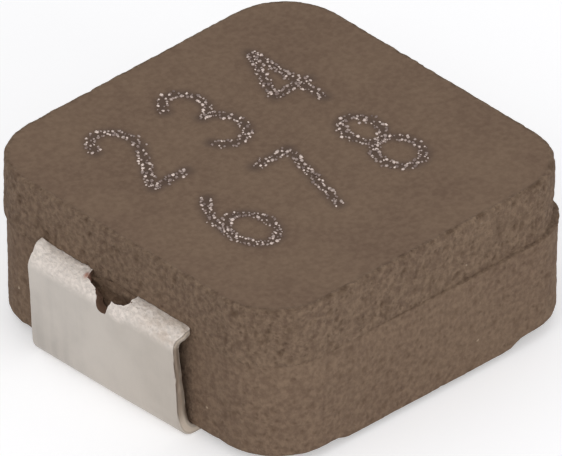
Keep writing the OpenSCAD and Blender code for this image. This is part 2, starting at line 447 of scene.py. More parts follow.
def rough_block(settings, strokes):
    """Points, faces and attributes of the block with its grain, pits, cracks, flash and groove, and the
    painted shade that darkens its hollows.
    """
    points, outward, coarse, faces = block_grid(settings.cells, settings.seat_slope)
    wall = outward[:, 2] == 0
    grain = lumps(points, settings.grain_size, 1) + 0.6 * lumps(points, settings.grain_size / 2, 2)
    shaded_pit = pits(points, settings.pit_size, 0.4, 3) * coarse
    patch = 0.5 + 0.5 * lumps(points, 0.7 * MM, 4)
    crack = 1 - smooth_step(0, 0.09, np.abs(lumps(points * (1, 1, 0.25), 0.24 * MM, 8)))
    crack *= smooth_step(0.4, 0.75, patch) * (points[:, 2] > PARTING_Z) * wall
    groove, flash, no_ledge, pinch = (share * wall for share in parting_line(points, outward))
    chip = edge_chips(points, outward) * wall
    moved = settings.grain_height * grain * coarse
    moved -= settings.pit_depth * np.maximum(np.maximum(shaded_pit * (0.5 + patch), 0.6 * chip), 0.35 * crack)
    moved -= settings.groove * groove + 0.045 * MM * pinch + DIE_SHIFT_Y * no_ledge
    moved += settings.flash * flash
    moved += 0.0012 * MM * grain * (1 - coarse) + 0.007 * MM * lumps(points, 0.26 * MM, 18) * wall
    points = points + outward * moved[:, None]
    # painted shade: the pits, groove, chips and cracks are darkened in colour where shade falls in them
    hollow_shade = np.clip(np.maximum.reduce([shaded_pit, 0.35 * groove, 0.65 * chip, 0.5 * crack]), 0, 1)
    return points, faces, {"coarse": coarse, "hollow_shade": hollow_shade, "scorch": scorch_at(points, strokes)}


def spilt_powder(side):
    """Points and faces of the powder that fills the strip's hole from behind, with a ridge on top."""
    half = HOLE_WIDTH / 2 + 0.02 * MM
    tongue_y = -0.045 * MM
    inner_x = BODY_HALF - 0.06 * MM
    stations = np.linspace(-half, half, 44)
    points = []
    for y in stations:
        in_slot = smooth_step(SLOT_WIDTH * 0.9, SLOT_WIDTH * 0.45, abs(y - tongue_y))
        s = np.linspace(-0.05 * MM, 0.3 * MM + (SLOT_DEPTH - 0.2 * MM) * in_slot, 22)
        x, z, out_x, out_z = fold_path(s)
        dip = smooth_step(0.02 * MM, 0.11 * MM, s) * smooth_step(-0.5 * MM, -0.36 * MM, y)
        dip = np.maximum(dip, 0.5 * smooth_step(0.15 * MM, 0.4 * MM, y))
        reach = STRIP_THICKNESS / 2 - 0.01 * MM - 0.17 * MM * dip
        down = np.linspace(z[-1] + out_z[-1] * reach[-1], z[0] + out_z[0] * reach[0], 8)
        points += [(a, STRIP_MIDDLE_Y + y, b) for a, b in zip(x + out_x * reach, z + out_z * reach)]
        points += [(inner_x, STRIP_MIDDLE_Y + y, b) for b in down]
    across = len(s) + len(down)
    points = np.array(points)
    rough = lumps(points, 0.13 * MM, 9) + 0.7 * lumps(points, 0.06 * MM, 10)
    points[:, 0] += 0.022 * MM * rough * (points[:, 0] > BODY_HALF)
    points[:, 2] += 0.022 * MM * rough
    points[:, 0] *= side
    faces = tube_faces(len(stations), across)
    return points, [face[::-1] for face in faces] if side < 0 else faces


def mark_spill(mesh):
    """Stores on the block painted shade for the spilt powder, darker the deeper each point lies behind its
    strip's face.
    """
    points = coordinates(mesh)
    out = np.abs(points[:, 0])
    in_hole = np.abs(points[:, 1] - STRIP_MIDDLE_Y) < HOLE_WIDTH / 2 + 0.03 * MM
    under_slot = 1.2 * MM
    spilt = (out > BODY_HALF + 0.008 * MM) & in_hole & (points[:, 2] > under_slot)
    centre_z = STRIP_HIGH.z - OUTER_RADIUS
    radius = np.hypot(out - FOLD_X, np.maximum(points[:, 2] - centre_z, 0))
    deep = smooth_step(0.02 * MM, 0.15 * MM, OUTER_RADIUS - radius)
    rough = lumps(points[spilt], 0.08 * MM, 17)
    # painted shade: the spilt powder is darkened the deeper it lies inside the hole
    for key, values in (("hollow_shade", 0.1 + 0.6 * deep[spilt] - 0.3 * rough), ("coarse", 1.0), ("scorch", 0.0)):
        layer = mesh.attributes[key].data
        stored = np.zeros(len(points), np.float32)
        layer.foreach_get("value", stored)
        stored[spilt] = np.clip(values, 0, 1)
        layer.foreach_set("value", stored)


def scorch_at(points, strokes):
    """How burnt the powder is at each point: 1 on a stroke of the marking, 0 away from it."""
    reach = bpy.context.scene.inductor_marking.scorch_reach
    tree = kdtree.KDTree(len(strokes))
    for i, spot in enumerate(strokes):
        tree.insert(spot, i)
    tree.balance()
    burnt = np.zeros(len(points))
    for i in np.flatnonzero(points[:, 2] > BODY_HIGH.z - EDGE_BEVEL / 2):
        burnt[i] = 1 - tree.find(points[i])[2] / reach
    return smooth_step(0, 1, burnt)


# ---- marking


def arc(x, y, wide, high, start, stop):
    """Points of an arc about (x, y), from the angle start to stop in degrees."""
    steps = max(4, round(abs(stop - start) / 15))
    angles = np.radians(np.linspace(start, stop, steps + 1))
    return [(x + wide * math.cos(a), y + high * math.sin(a)) for a in angles]


def digit_strokes(digit):
    """Strokes of a digit in a cell one wide and one high."""
    return {
        "2": [arc(0.5, 0.73, 0.44, 0.27, 165, -40) + [(0.04, 0), (0.98, 0)]],
        "3": [arc(0.45, 0.76, 0.42, 0.24, 160, -90), arc(0.45, 0.27, 0.5, 0.26, 90, -160)],
        "4": [[(0.74, 0), (0.74, 1), (0.02, 0.32), (1, 0.32)]],
        "6": [arc(0.9, 0.3, 0.86, 0.68, 112, 180), arc(0.5, 0.28, 0.45, 0.28, 180, 540)],
        "7": [[(0.03, 1), (0.97, 1), (0.34, 0)]],
        "8": [arc(0.5, 0.76, 0.36, 0.24, -90, 270), arc(0.5, 0.26, 0.46, 0.26, 90, 450)],
    }[digit]


def stroke_spots(settings, spacing):
    """Spots along the middle of every stroke on the top face, each with the stroke's direction."""
    rows = settings.rows.split()
    spots = []
    for r, row in enumerate(rows):
        for c, digit in enumerate(row):
            left = settings.middle[0] + (c - (len(row) - 1) / 2) * settings.digit_pitch
            left -= settings.digit_width / 2
            base = settings.middle[1] + ((len(rows) - 1) / 2 - r) * settings.row_pitch
            base -= settings.digit_height / 2
            for stroke in digit_strokes(digit):
                line = [
                    Vector((left + x * settings.digit_width, base + y * settings.digit_height, BODY_HIGH.z))
                    for x, y in stroke
                ]
                spots += walk(line, spacing)
    return spots


def walk(line, spacing):
    """Evenly spaced (point, direction) pairs along a line of points."""
    found, left_over = [], 0.0
    for start, end in zip(line, line[1:]):
        run = (end - start).length
        direction = (end - start).normalized()
        while left_over <= run:
            found.append((start + direction * left_over, direction))
            left_over += spacing
        left_over -= run
    return found


def bead_shape():
    """Points and faces of a ball with 42 points."""
    made = bmesh.new()
    bmesh.ops.create_icosphere(made, subdivisions=2, radius=1)
    points = np.array([v.co for v in made.verts])
    faces = np.array([[v.index for v in f.verts] for f in made.faces])
    made.free()
    return points, faces


def bead_places(settings, chance):
    """Centre and radius of each bead, in two uneven lines along every stroke."""
    places = []
    kept = 0.93
    for line in (-1, 1):
        for spot, direction in stroke_spots(settings, settings.bead_size * 2.1):
            side = Vector((-direction.y, direction.x, 0))
            radius = settings.bead_size * chance.uniform(0.6, 1.35)
            drift = chance.gauss(0, 0.22) * settings.line_gap
            along = chance.uniform(-0.9, 0.9) * settings.bead_size
            if chance.random() < kept:
                across = line * settings.line_gap / 2 + drift
                places.append((spot + side * across + direction * along, radius))
    return places


# ---- strips


def hole_outline(settings, chance):
    """Ragged outline of the locking hole on the flat strip, as (along, across) points.

    along runs from the body's face outwards and across runs towards the back.
    """
    half, slot = HOLE_WIDTH / 2, SLOT_WIDTH / 2
    shoulder, shelf = 0.13 * MM, 0.235 * MM
    slot_y, slot_end = -0.03 * MM, 0.435 * MM
    turn_y = -0.19 * MM
    root = [(half * math.cos(a), half * math.sin(a)) for a in np.linspace(math.pi / 2, 3 * math.pi / 2, 25)]
    front = [
        (shoulder + (shelf - shoulder) * math.cos(a), turn_y + (half + turn_y) * math.sin(a))
        for a in np.linspace(-math.pi / 2, 0, 8)
    ]
    tip = [
        (slot_end - slot + slot * math.cos(a), slot_y + slot * math.sin(a))
        for a in np.linspace(-math.pi / 2, math.pi / 2, 11)
    ]
    back = [(0.25 * MM, 0.12 * MM), (0.19 * MM, 0.21 * MM), (shoulder, 0.44 * MM)]
    outline = root + subdivided(root[-1:] + front[:1], 4)[1:-1] + front
    outline += subdivided([front[-1], tip[0]], 3)[1:-1] + tip
    outline += subdivided(tip[-1:] + back + root[:1], 4)[1:-1]
    wander = settings.raggedness
    return [
        (s + chance.gauss(0, 0.3) * wander, y + chance.gauss(0, 0.3) * wander) if s > 0.02 * MM else (s, y)
        for s, y in outline
    ]


def subdivided(line, parts):
    """The line with each of its stretches cut into equal parts."""
    found = [line[0]]
    for (s0, y0), (s1, y1) in zip(line, line[1:]):
        found += [(s0 + (s1 - s0) * k / parts, y0 + (y1 - y0) * k / parts) for k in range(1, parts + 1)]
    return found


def flat_strip(spacing):
    """Points and faces of the strip before it is folded: (along, across, height) and quads."""
    total = TAB_LENGTH + UPPER_RUN + LEG_LENGTH + LOWER_RUN + FOOT_LENGTH
    along = np.linspace(-TAB_LENGTH, total - TAB_LENGTH, round(total / spacing) + 1)
    half_w, half_t = STRIP_WIDTH / 2, STRIP_THICKNESS / 2
    bevel = 0.014 * MM
    flat = np.linspace(-half_w + bevel, half_w - bevel, round(STRIP_WIDTH / spacing) + 1)
    wall = np.linspace(half_t - bevel, bevel - half_t, 7)
    ring = [(y, half_t) for y in flat] + [(half_w, t) for t in wall]
    ring += [(y, -half_t) for y in flat[::-1]] + [(-half_w, -t) for t in wall]
    points = [(s, y, t) for s in along for y, t in ring]
    return points, [face[::-1] for face in tube_faces(len(along), len(ring))]


def fold_path(s):
    """Middle line of the folded strip at the run s: x, z and the outward direction."""
    down_leg = np.clip(s - UPPER_RUN, 0, LEG_LENGTH)
    after_leg = s - UPPER_RUN - LEG_LENGTH
    turn = np.clip(s, 0, UPPER_RUN) / MIDDLE_RADIUS + np.clip(after_leg, 0, LOWER_RUN) / MIDDLE_RADIUS
    out_x, out_z = np.sin(turn), np.cos(turn)
    x = FOLD_X - down_leg * math.sin(LEG_LEAN) + MIDDLE_RADIUS * out_x
    x = x + np.minimum(s, 0) - np.maximum(after_leg - LOWER_RUN, 0)
    z = STRIP_HIGH.z - OUTER_RADIUS - down_leg * math.cos(LEG_LEAN) + MIDDLE_RADIUS * out_z
    return x, z, out_x, out_z


def strip_relief(s, y, t, side, fold, settings):
    """How far each point stands off the plain strip: waves, crackle, ears, swell and inner burr."""
    half, leg_end = STRIP_WIDTH / 2, UPPER_RUN + LEG_LENGTH
    sheet = np.stack([s, y, 0 * s + side * MM], axis=1)
    on_leg = np.sin(math.pi * np.clip((s - 0.4 * UPPER_RUN) / (LEG_LENGTH + 0.9 * UPPER_RUN), 0, 1))
    by_exit = smooth_step(-0.02 * MM, 0.03 * MM, s) * smooth_step(0.2 * MM, 0.08 * MM, s)
    low_end = smooth_step(0.6 * LEG_LENGTH, leg_end, s)
    low_end *= smooth_step(leg_end + 0.4 * MM, leg_end + 0.15 * MM, s)
    crackle = lumps(sheet * (1, 0.45, 1), 0.05 * MM, 12) + 0.6 * lumps(sheet, 0.03 * MM, 13)
    relief = settings.ripple * lumps(sheet, 0.9 * MM, 11) * on_leg
    relief += settings.crackle * crackle * fold * np.sign(t)
    relief += settings.ear * by_exit * smooth_step(half - 0.24 * MM, half - 0.03 * MM, y)
    relief += 0.3 * settings.ear * by_exit * smooth_step(0.2 * MM - half, -half, y)
    relief += settings.swell * low_end * (0.35 + 0.65 * smooth_step(0, -half, y)) * (t > 0)
    inner_edge = smooth_step(0.1 * MM - half, -half, y) * (t < 0) * on_leg
    relief -= 0.02 * MM * inner_edge * (1 + 0.5 * lumps(sheet, 0.35 * MM, 16))
    return relief


def edge_shift(s, y, t, side):
    """How far each point moves across the strip: burred edges, bulging fold and wider low end."""
    half, leg_end = STRIP_WIDTH / 2, UPPER_RUN + LEG_LENGTH
    place = np.stack([s, y, t + side * MM], axis=1)
    at_edge = smooth_step(0.47, 0.5, np.abs(y) / STRIP_WIDTH)
    burr = 0.004 * MM * lumps(place, 0.07 * MM, 14)
    burr += 0.008 * MM * lumps(place * (0.15, 1, 1), 0.04 * MM, 15)
    bulge = smooth_step(-0.02 * MM, 0.03 * MM, s) * smooth_step(0.3 * MM, 0.1 * MM, s) * (y < 0)
    spread = smooth_step(0.4 * LEG_LENGTH, leg_end, s) * smooth_step(0.25 * MM - half, -half, y)
    return at_edge * (burr - 0.08 * MM * bulge) - 0.05 * MM * spread


def folded(points, side, settings):
    """Bends the flat strip into its real shape at the end of the body on that side.

    Returns the points, and how much each of them belongs to the crackled upper fold.
    """
    s, y, t = points.T
    leg_end = UPPER_RUN + LEG_LENGTH
    fold = smooth_step(-0.1 * MM, -0.05 * MM, s) * smooth_step(UPPER_RUN, 0.6 * UPPER_RUN, s)
    by_shelf = np.hypot(s - 0.3 * MM, (y + 0.36 * MM) * 0.6)
    fold = np.maximum(fold, smooth_step(0.16 * MM, 0.06 * MM, by_shelf))
    round_in = smooth_step(0, -STRIP_WIDTH / 2, y)
    round_in *= smooth_step(leg_end - 0.25 * MM, leg_end + 0.2 * MM, s)
    x, z, out_x, out_z = fold_path(s)
    x = x - 0.06 * MM * round_in
    reach = t + strip_relief(s, y, t, side, fold, settings)
    across = STRIP_MIDDLE_Y + (y + edge_shift(s, y, t, side))
    shape = np.stack([side * (x + out_x * reach), across, z + out_z * reach], axis=1)
    shape[:, 2] = np.maximum(shape[:, 2], 0)
    return shape, fold


# ---- shader helpers


class NodeSheet:
    """Short ways to add and join the nodes of one tree."""

    def __init__(self, tree):
        self.tree = tree

    def add(self, kind, inputs=None, **settings):
        """New node with its settings, and its inputs set to values or joined to sockets."""
        node = self.tree.nodes.new(kind)
        for key, value in settings.items():
            setattr(node, key, value)
        for key, value in (inputs or {}).items():
            if isinstance(value, bpy.types.NodeSocket):
                self.link(value, node, key)
            elif node.inputs[key].type == "RGBA":
                node.inputs[key].default_value = (*value[:3], 1)
            else:
                node.inputs[key].default_value = value
        return node

    def link(self, value, node, key):
        """Joins a socket to an input of a node."""
        self.tree.links.new(value, node.inputs[key])

    def math(self, operation, a, b=0.0, c=0.0):
        """Result of a sum on numbers or sockets."""
        return self.add("ShaderNodeMath", {0: a, 1: b, 2: c}, operation=operation).outputs[0]

    def times(self, a, b):
        """Product of two numbers or sockets."""
        return self.math("MULTIPLY", a, b)

    def line(self, value, slope, start):
        """value times slope, plus start."""
        return self.math("MULTIPLY_ADD", value, slope, start)

    def mix(self, share, a, b):
        """Colour between a and b."""
        return self.add("ShaderNodeMix", {0: share, 6: a, 7: b}, data_type="RGBA").outputs[2]

    def vector(self, operation, a, b):
        """Result of a sum on two vectors."""
        return self.add("ShaderNodeVectorMath", {0: a, 1: b}, operation=operation).outputs[0]

    def ramp(self, value, low, high):
        """0 below low and 1 above high."""
        return self.add(
            "ShaderNodeMapRange", {0: value, 1: low, 2: high}, interpolation_type="SMOOTHSTEP"
        ).outputs[0]

    def attribute(self, name):
        """Value stored on the mesh."""
        return self.add("ShaderNodeAttribute", attribute_name=name).outputs["Fac"]

    def group(self, tree, **inputs):
        """Placed node group with its own values."""
        named = {key.replace("_", " "): value for key, value in inputs.items()}
        return self.add("ShaderNodeGroup", named, node_tree=tree)


def toned(value, share):
    """The colour times a share, or times one share for each of its three parts."""
    return np.multiply(value, share).tolist()


def empty_sheet(owner):
    """Node sheet of a material or world, with nothing on it."""
    owner.use_nodes = True
    owner.node_tree.nodes.clear()
    return NodeSheet(owner.node_tree)


def new_group(name, inputs, outputs):
    """Empty shader node group with named sockets, and its sheet, input node and output node."""
    tree = bpy.data.node_groups.new(name, "ShaderNodeTree")
    for key, (kind, value) in inputs.items():
        socket = tree.interface.new_socket(key, in_out="INPUT", socket_type=kind)
        socket.default_value = value
    for key, kind in outputs.items():
        tree.interface.new_socket(key, in_out="OUTPUT", socket_type=kind)
    sheet = NodeSheet(tree)
    return tree, sheet, sheet.add("NodeGroupInput"), sheet.add("NodeGroupOutput")


def mottle_group():
    """Cloudy change between two colours, in lumps of a real size."""
    if "Mottle" in bpy.data.node_groups:
        return bpy.data.node_groups["Mottle"]
    tree, sheet, into, out = new_group(
        "Mottle",
        {
            "Size mm": ("NodeSocketFloat", 1.0),
            "Stretch": ("NodeSocketVector", (1, 1, 1)),
            "Low": ("NodeSocketColor", (0, 0, 0, 1)),
            "High": ("NodeSocketColor", (1, 1, 1, 1)),
        },
        {"Colour": "NodeSocketColor", "Value": "NodeSocketFloat"},
    )
    place = sheet.add("ShaderNodeTexCoord").outputs["Object"]
    scale = sheet.math("DIVIDE", 1 / MM, into.outputs["Size mm"])
    stretched = sheet.vector("MULTIPLY", place, into.outputs["Stretch"])
    cloud = sheet.add(
        "ShaderNodeTexNoise",
        {"Vector": stretched, "Scale": scale, "Detail": 4.0, "Roughness": 0.6},
    )
    value = sheet.ramp(cloud.outputs["Fac"], 0.3, 0.7)
    sheet.link(sheet.mix(value, into.outputs["Low"], into.outputs["High"]), out, "Colour")
    sheet.link(value, out, "Value")
    return tree


def speckle_group():
    """Scattered spots of a real size: how many cells hold a spot and how wide it is."""
    if "Speckle" in bpy.data.node_groups:
        return bpy.data.node_groups["Speckle"]
    tree, sheet, into, out = new_group(
        "Speckle",
        {
            "Size mm": ("NodeSocketFloat", 0.1),
            "Share": ("NodeSocketFloat", 0.3),
            "Width": ("NodeSocketFloat", 0.4),
        },
        {"Spot": "NodeSocketFloat", "Random": "NodeSocketFloat"},
    )
    place = sheet.add("ShaderNodeTexCoord").outputs["Object"]
    scale = sheet.math("DIVIDE", 1 / MM, into.outputs["Size mm"])
    waves = sheet.add("ShaderNodeTexNoise", {"Vector": place, "Scale": scale, "Detail": 2.0})
    warp = sheet.vector("SUBTRACT", waves.outputs["Color"], (0.5, 0.5, 0.5))
    reach = sheet.times(into.outputs["Size mm"], MM)
    place = sheet.vector("ADD", place, sheet.vector("MULTIPLY", warp, reach))
    cells = sheet.add("ShaderNodeTexVoronoi", {"Vector": place, "Scale": scale}, feature="F1")
    chance = sheet.add("ShaderNodeSeparateColor", {0: cells.outputs["Color"]})
    held = sheet.math("LESS_THAN", chance.outputs[0], into.outputs["Share"])
    near = sheet.ramp(cells.outputs["Distance"], into.outputs["Width"], 0.0)
    sheet.link(sheet.times(held, near), out, "Spot")
    sheet.link(chance.outputs[1], out, "Random")
    return tree


def new_material(name):
    """Empty material with a principled shader: material, sheet and shader."""
    material = bpy.data.materials.new(name)
    sheet = empty_sheet(material)
    shader = sheet.add("ShaderNodeBsdfPrincipled")
    sheet.add("ShaderNodeOutputMaterial", {"Surface": shader.outputs[0]})
    return material, sheet, shader


def join(sheet, shader, **sockets):
    """Joins colours and values to the shader's inputs."""
    for key, value in sockets.items():
        sheet.link(value, shader, key.replace("_", " ").title())


def relief(sheet, shader, height, depth_mm, strength=1.0):
    """Fine relief of the given depth in the shader's normal."""
    bump = sheet.add("ShaderNodeBump", {"Strength": strength, "Distance": depth_mm * MM, "Height": height})
    sheet.link(bump.outputs[0], shader, "Normal")


def powder_material(settings):
    """Pressed iron powder: mottled taupe with pits darkened by painted shade, pale grains, painted glints
    and burnt strokes.
    """
    material, sheet, shader = new_material("pressed_powder")
    mottle, speckle = mottle_group(), speckle_group()
    coarse, hollow_shade, scorch = (sheet.attribute(n) for n in ("coarse", "hollow_shade", "scorch"))
    broad = sheet.group(mottle, Size_mm=1.3, Low=settings.dark, High=settings.powder)
    fine = sheet.group(mottle, Size_mm=0.09)
    grain = sheet.group(mottle, Size_mm=0.04)
    pale = sheet.times(fine.outputs["Value"], sheet.line(coarse, 0.55, 0.3))
    base = sheet.mix(pale, broad.outputs["Colour"], settings.pale)
    dots = sheet.group(speckle, Size_mm=0.1, Share=0.45, Width=0.5)
    # painted shade: the small dots and the stored hollows are darkened towards the pit colour in place of
    # the shade in them
    dot_shade = sheet.times(dots.outputs["Spot"], sheet.line(coarse, 0.42, 0.1))
    painted_shade = sheet.math("MAXIMUM", dot_shade, sheet.times(hollow_shade, 0.9))
    base = sheet.mix(painted_shade, base, settings.shaded_pit)
    base = sheet.mix(sheet.times(scorch, 0.9), base, settings.scorch)
    # painted glints: a few specks on the rough walls are painted pale in place of light glinting off the
    # iron
    glints = sheet.group(speckle, Size_mm=0.2, Share=0.05, Width=0.16)
    glint = sheet.times(glints.outputs["Spot"], sheet.math("GREATER_THAN", coarse, 0.5))
    painted_glint_colour = linear(204, 184, 160)
    base = sheet.mix(glint, base, painted_glint_colour)
    rough = sheet.line(fine.outputs["Value"], -0.1, 0.9)
    rough = sheet.math("SUBTRACT", rough, sheet.times(glint, 0.3))
    height = sheet.math("ADD", grain.outputs["Value"], fine.outputs["Value"])
    height = sheet.math("SUBTRACT", height, sheet.times(dots.outputs["Spot"], 0.9))
    height = sheet.times(height, sheet.line(coarse, 0.88, 0.1))
    join(sheet, shader, Base_Color=base, Roughness=rough)
    shader.inputs["Specular IOR Level"].default_value = 0.15
    relief(sheet, shader, height, 0.016)
    return material


def layered_edge(sheet, settings, depth):
    """Colour across a sheared edge: bright plating outside, a dark line, then pale and dull metal."""
    dull = toned(settings.edge, 0.66)
    inner = sheet.mix(sheet.ramp(depth, 0.3, 0.5), dull, settings.edge)
    lined = sheet.mix(sheet.ramp(depth, 0.66, 0.74), inner, toned(settings.edge, 0.7))
    return sheet.mix(sheet.ramp(depth, 0.8, 0.9), lined, settings.tin)


def tin_material(settings):
    """Dull bright tin: faint streaks along the strip, a crackled fold and layered cut edges."""
    material, sheet, shader = new_material("tin_plating")
    mottle = mottle_group()
    fold, worn, darker_to_front, edge = (sheet.attribute(n) for n in ("upper_fold", "worn", "darker_to_front", "cut_edge"))
    punched, depth, copper = (sheet.attribute(n) for n in ("punched", "depth", "bare_copper"))
    streak = sheet.group(mottle, Size_mm=1.4, Stretch=(0.6, 10.0, 0.6))
    cloud = sheet.group(mottle, Size_mm=1.4, Low=toned(settings.tin, 0.76), High=settings.tin)
    fine = sheet.group(mottle, Size_mm=0.05)
    crackle = sheet.group(mottle, Size_mm=0.055, Stretch=(1.0, 0.7, 1.0),
                          Low=toned(settings.stretched, 0.76), High=settings.stretched)
    smear = sheet.group(mottle, Size_mm=0.12, Stretch=(1.0, 0.6, 1.0))
    base = sheet.mix(sheet.times(streak.outputs["Value"], 0.5), cloud.outputs["Colour"],
                     toned(settings.tin, 1.04))
    # darker and warmer towards the front edge of the strip, off the fold
    base = sheet.mix(sheet.times(darker_to_front, 0.4), base, toned(settings.tin, (0.82, 0.78, 0.73)))
    base = sheet.mix(sheet.times(fold, 0.8), base, crackle.outputs["Colour"])
    brown = sheet.times(sheet.times(smear.outputs["Value"], worn), 0.35)
    base = sheet.mix(brown, base, settings.stain)
    base = sheet.mix(sheet.times(edge, 0.9), base, layered_edge(sheet, settings, depth))
    # the hole's walls get the smeared powder colour, darkened with painted shade
    base = sheet.mix(punched, base, settings.smear_and_shade)
    base = sheet.mix(copper, base, settings.copper)
    rough = sheet.line(streak.outputs["Value"], 0.08, 0.4)
    rough = sheet.line(fold, 0.14, rough)
    rough = sheet.line(punched, 0.3, rough)
    height = sheet.times(streak.outputs["Value"], 0.25)
    rumpled = sheet.line(crackle.outputs["Value"], 1.5, fine.outputs["Value"])
    height = sheet.math("ADD", height, sheet.times(rumpled, sheet.line(fold, 1.2, 0.08)))
    metal = sheet.line(fold, -0.45, 0.9)
    metal = sheet.line(punched, -0.8, metal)
    join(sheet, shader, Base_Color=base, Roughness=rough, Metallic=metal)
    relief(sheet, shader, height, 0.006)
    return material


def bead_material(settings):
    """Melted beads of the marking: stained metal, painted pale on some of them in place of the glints they
    catch.
    """
    material, sheet, shader = new_material("melted_beads")
    stain_to_glint = sheet.attribute("stain_to_glint")
    stain = sheet.group(mottle_group(), Size_mm=0.05, Low=toned(settings.dull_bead, 0.6),
                        High=settings.dull_bead)
    join(sheet, shader, Base_Color=sheet.mix(stain_to_glint, stain.outputs["Colour"], settings.bead),
         Roughness=sheet.line(stain.outputs["Value"], -0.1, 0.5))
    shader.inputs["Metallic"].default_value = 0.6
    return material


def enamel_material():
    """Copper wire under clear reddish enamel, with drawing lines along the wire."""
    material, sheet, shader = new_material("enamelled_copper")
    tone = sheet.group(mottle_group(), Size_mm=0.5, Low=linear(132, 62, 34), High=linear(176, 92, 52))
    lines = sheet.group(mottle_group(), Size_mm=0.3, Stretch=(1.0, 1.0, 14.0))
    join(sheet, shader, Base_Color=tone.outputs["Colour"],
         Roughness=sheet.line(lines.outputs["Value"], 0.12, 0.26))
    shader.inputs["Metallic"].default_value = 1.0
    shader.inputs["Coat Weight"].default_value = 0.6
    shader.inputs["Coat Roughness"].default_value = 0.15
    relief(sheet, shader, lines.outputs["Value"], 0.004, 0.5)
    return material


# ---- operators


class INDUCTOR_OT_press_block(bpy.types.Operator):
    """Make the block of pressed powder round the coil and the tabs"""

    bl_idname = "inductor.press_block"
    bl_label = "Press the Block"

    def execute(self, context):
        """Builds the rough block, cuts the coil and the tabs out of it, and gives it its powder."""
        settings = context.scene.inductor_powder
        spots = [spot for spot, _ in stroke_spots(context.scene.inductor_marking, 0.03 * MM)]
        block = new_piece("pressed_block", *rough_block(settings, spots))
        spills = [new_piece("spill", *spilt_powder(side)) for side in (-1, 1)]
        inside = [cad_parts[name] for name in ("coil", "terminal_left", "terminal_right")]
        combine(block, spills, "UNION")
        combine(block, inside, "DIFFERENCE")
        for spill in spills:
            bpy.data.objects.remove(spill)
        mark_spill(block.data)
        smooth_faces(block)
        coat(block, powder_material(settings))
        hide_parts("pressed_body")
        return {"FINISHED"}


class INDUCTOR_OT_fold_strips(bpy.types.Operator):
    """Make the two tinned strips: punched flat, then folded round the ends of the body"""

    bl_idname = "inductor.fold_strips"
    bl_label = "Fold the Strips"

    def execute(self, context):
        """Punches and folds one strip for each end."""
        settings = context.scene.inductor_strip
        tin = tin_material(settings)
        for side, name in ((-1, "left"), (1, "right")):
            chance = random.Random(20 + side)
            strip = self.punched(settings, f"strip_{name}", chance)
            self.fold(strip, side, settings)
            coat(strip, tin)
            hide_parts(f"terminal_{name}")
        return {"FINISHED"}

    def punched(self, settings, name, chance):
        """Flat strip with its locking hole."""
        points, faces = flat_strip(settings.spacing)
        strip = new_piece(name, points, faces)
        outline = hole_outline(settings, chance)
        count = len(outline)
        reach = STRIP_THICKNESS
        punch_points = [(s, y, h) for h in (-reach, reach) for s, y in outline]
        sides = [(i, (i + 1) % count, count + (i + 1) % count, count + i) for i in range(count)]
        caps = [tuple(range(count))[::-1], tuple(range(count, 2 * count))]
        punch = new_piece("punch", punch_points, sides + caps)
        combine(strip, [punch], "DIFFERENCE")
        bpy.data.objects.remove(punch)
        return strip

    def fold(self, strip, side, settings):
        """Bends the punched strip and stores where its fold, edges and bare copper are."""
        mesh = strip.data
        flat = coordinates(mesh)
        s, y, t = flat.T
        tilt = np.array([face.normal.z for face in mesh.polygons])
        centre = np.array([face.center for face in mesh.polygons])
        shape, fold = folded(flat, side, settings)
        mesh.vertices.foreach_set("co", shape.astype(np.float32).ravel())
        from_nick = np.hypot(s - 0.11 * MM, y - 0.48 * MM)
        store(mesh, "upper_fold", fold)
        store(mesh, "depth", 0.5 + t / STRIP_THICKNESS)
        store(mesh, "bare_copper", smooth_step(0.07 * MM, 0.01 * MM, from_nick) * (side < 0))
        store(mesh, "worn", fold * smooth_step(-0.2 * MM, -STRIP_WIDTH / 2, y))
        # share that makes the plating darker and warmer towards the strip's front edge
        store(mesh, "darker_to_front", smooth_step(0.8 * MM, -STRIP_WIDTH / 2, y) * (1 - fold))
        cut = np.abs(tilt) < 0.5
        near_hole = (np.abs(centre[:, 1]) < STRIP_WIDTH / 2 - 0.1 * MM) & (np.abs(centre[:, 0]) < 0.6 * MM)
        store(mesh, "cut_edge", cut & ~near_hole, "FACE")
        store(mesh, "punched", cut & near_hole, "FACE")
        if side < 0:
            mesh.flip_normals()
        mesh.update()
        smooth_faces(strip, 40)


class INDUCTOR_OT_burn_marking(bpy.types.Operator):
    """Make the plain digits that are burnt into the top face as lines of melted beads"""

    bl_idname = "inductor.burn_marking"
    bl_label = "Burn the Marking"

    def execute(self, context):
        """Scatters uneven beads along the strokes."""
        settings = context.scene.inductor_marking
        chance = random.Random(5)
        ball, ball_faces = bead_shape()
        points, faces, stain_to_glint = [], [], []
        for centre, radius in bead_places(settings, chance):
            # painted glints: each bead's colour runs at random from stained to a pale painted glint
            stain_to_glint += [chance.random() ** 1.7] * len(ball)
            dent = np.array([chance.uniform(0.75, 1.2) for _ in ball])[:, None]
            squash = np.array([chance.uniform(0.8, 1.3), chance.uniform(0.8, 1.3), 0.8])
            faces += [tuple(f) for f in (ball_faces + len(points) * len(ball)).tolist()]
            points.append(ball * dent * squash * radius + np.array(centre))
        beads = new_piece("marking_beads", np.concatenate(points), faces, attributes={"stain_to_glint": stain_to_glint})
        beads.data.shade_smooth()
        coat(beads, bead_material(settings))
        return {"FINISHED"}


class INDUCTOR_OT_enamel_coil(bpy.types.Operator):
    """Give the hidden coil its enamelled copper"""

    bl_idname = "inductor.enamel_coil"
    bl_label = "Enamel the Coil"

    def execute(self, context):
        """Puts the wire's material on the CAD coil."""
        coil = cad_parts["coil"]
        coat(coil, enamel_material())
        return {"FINISHED"}


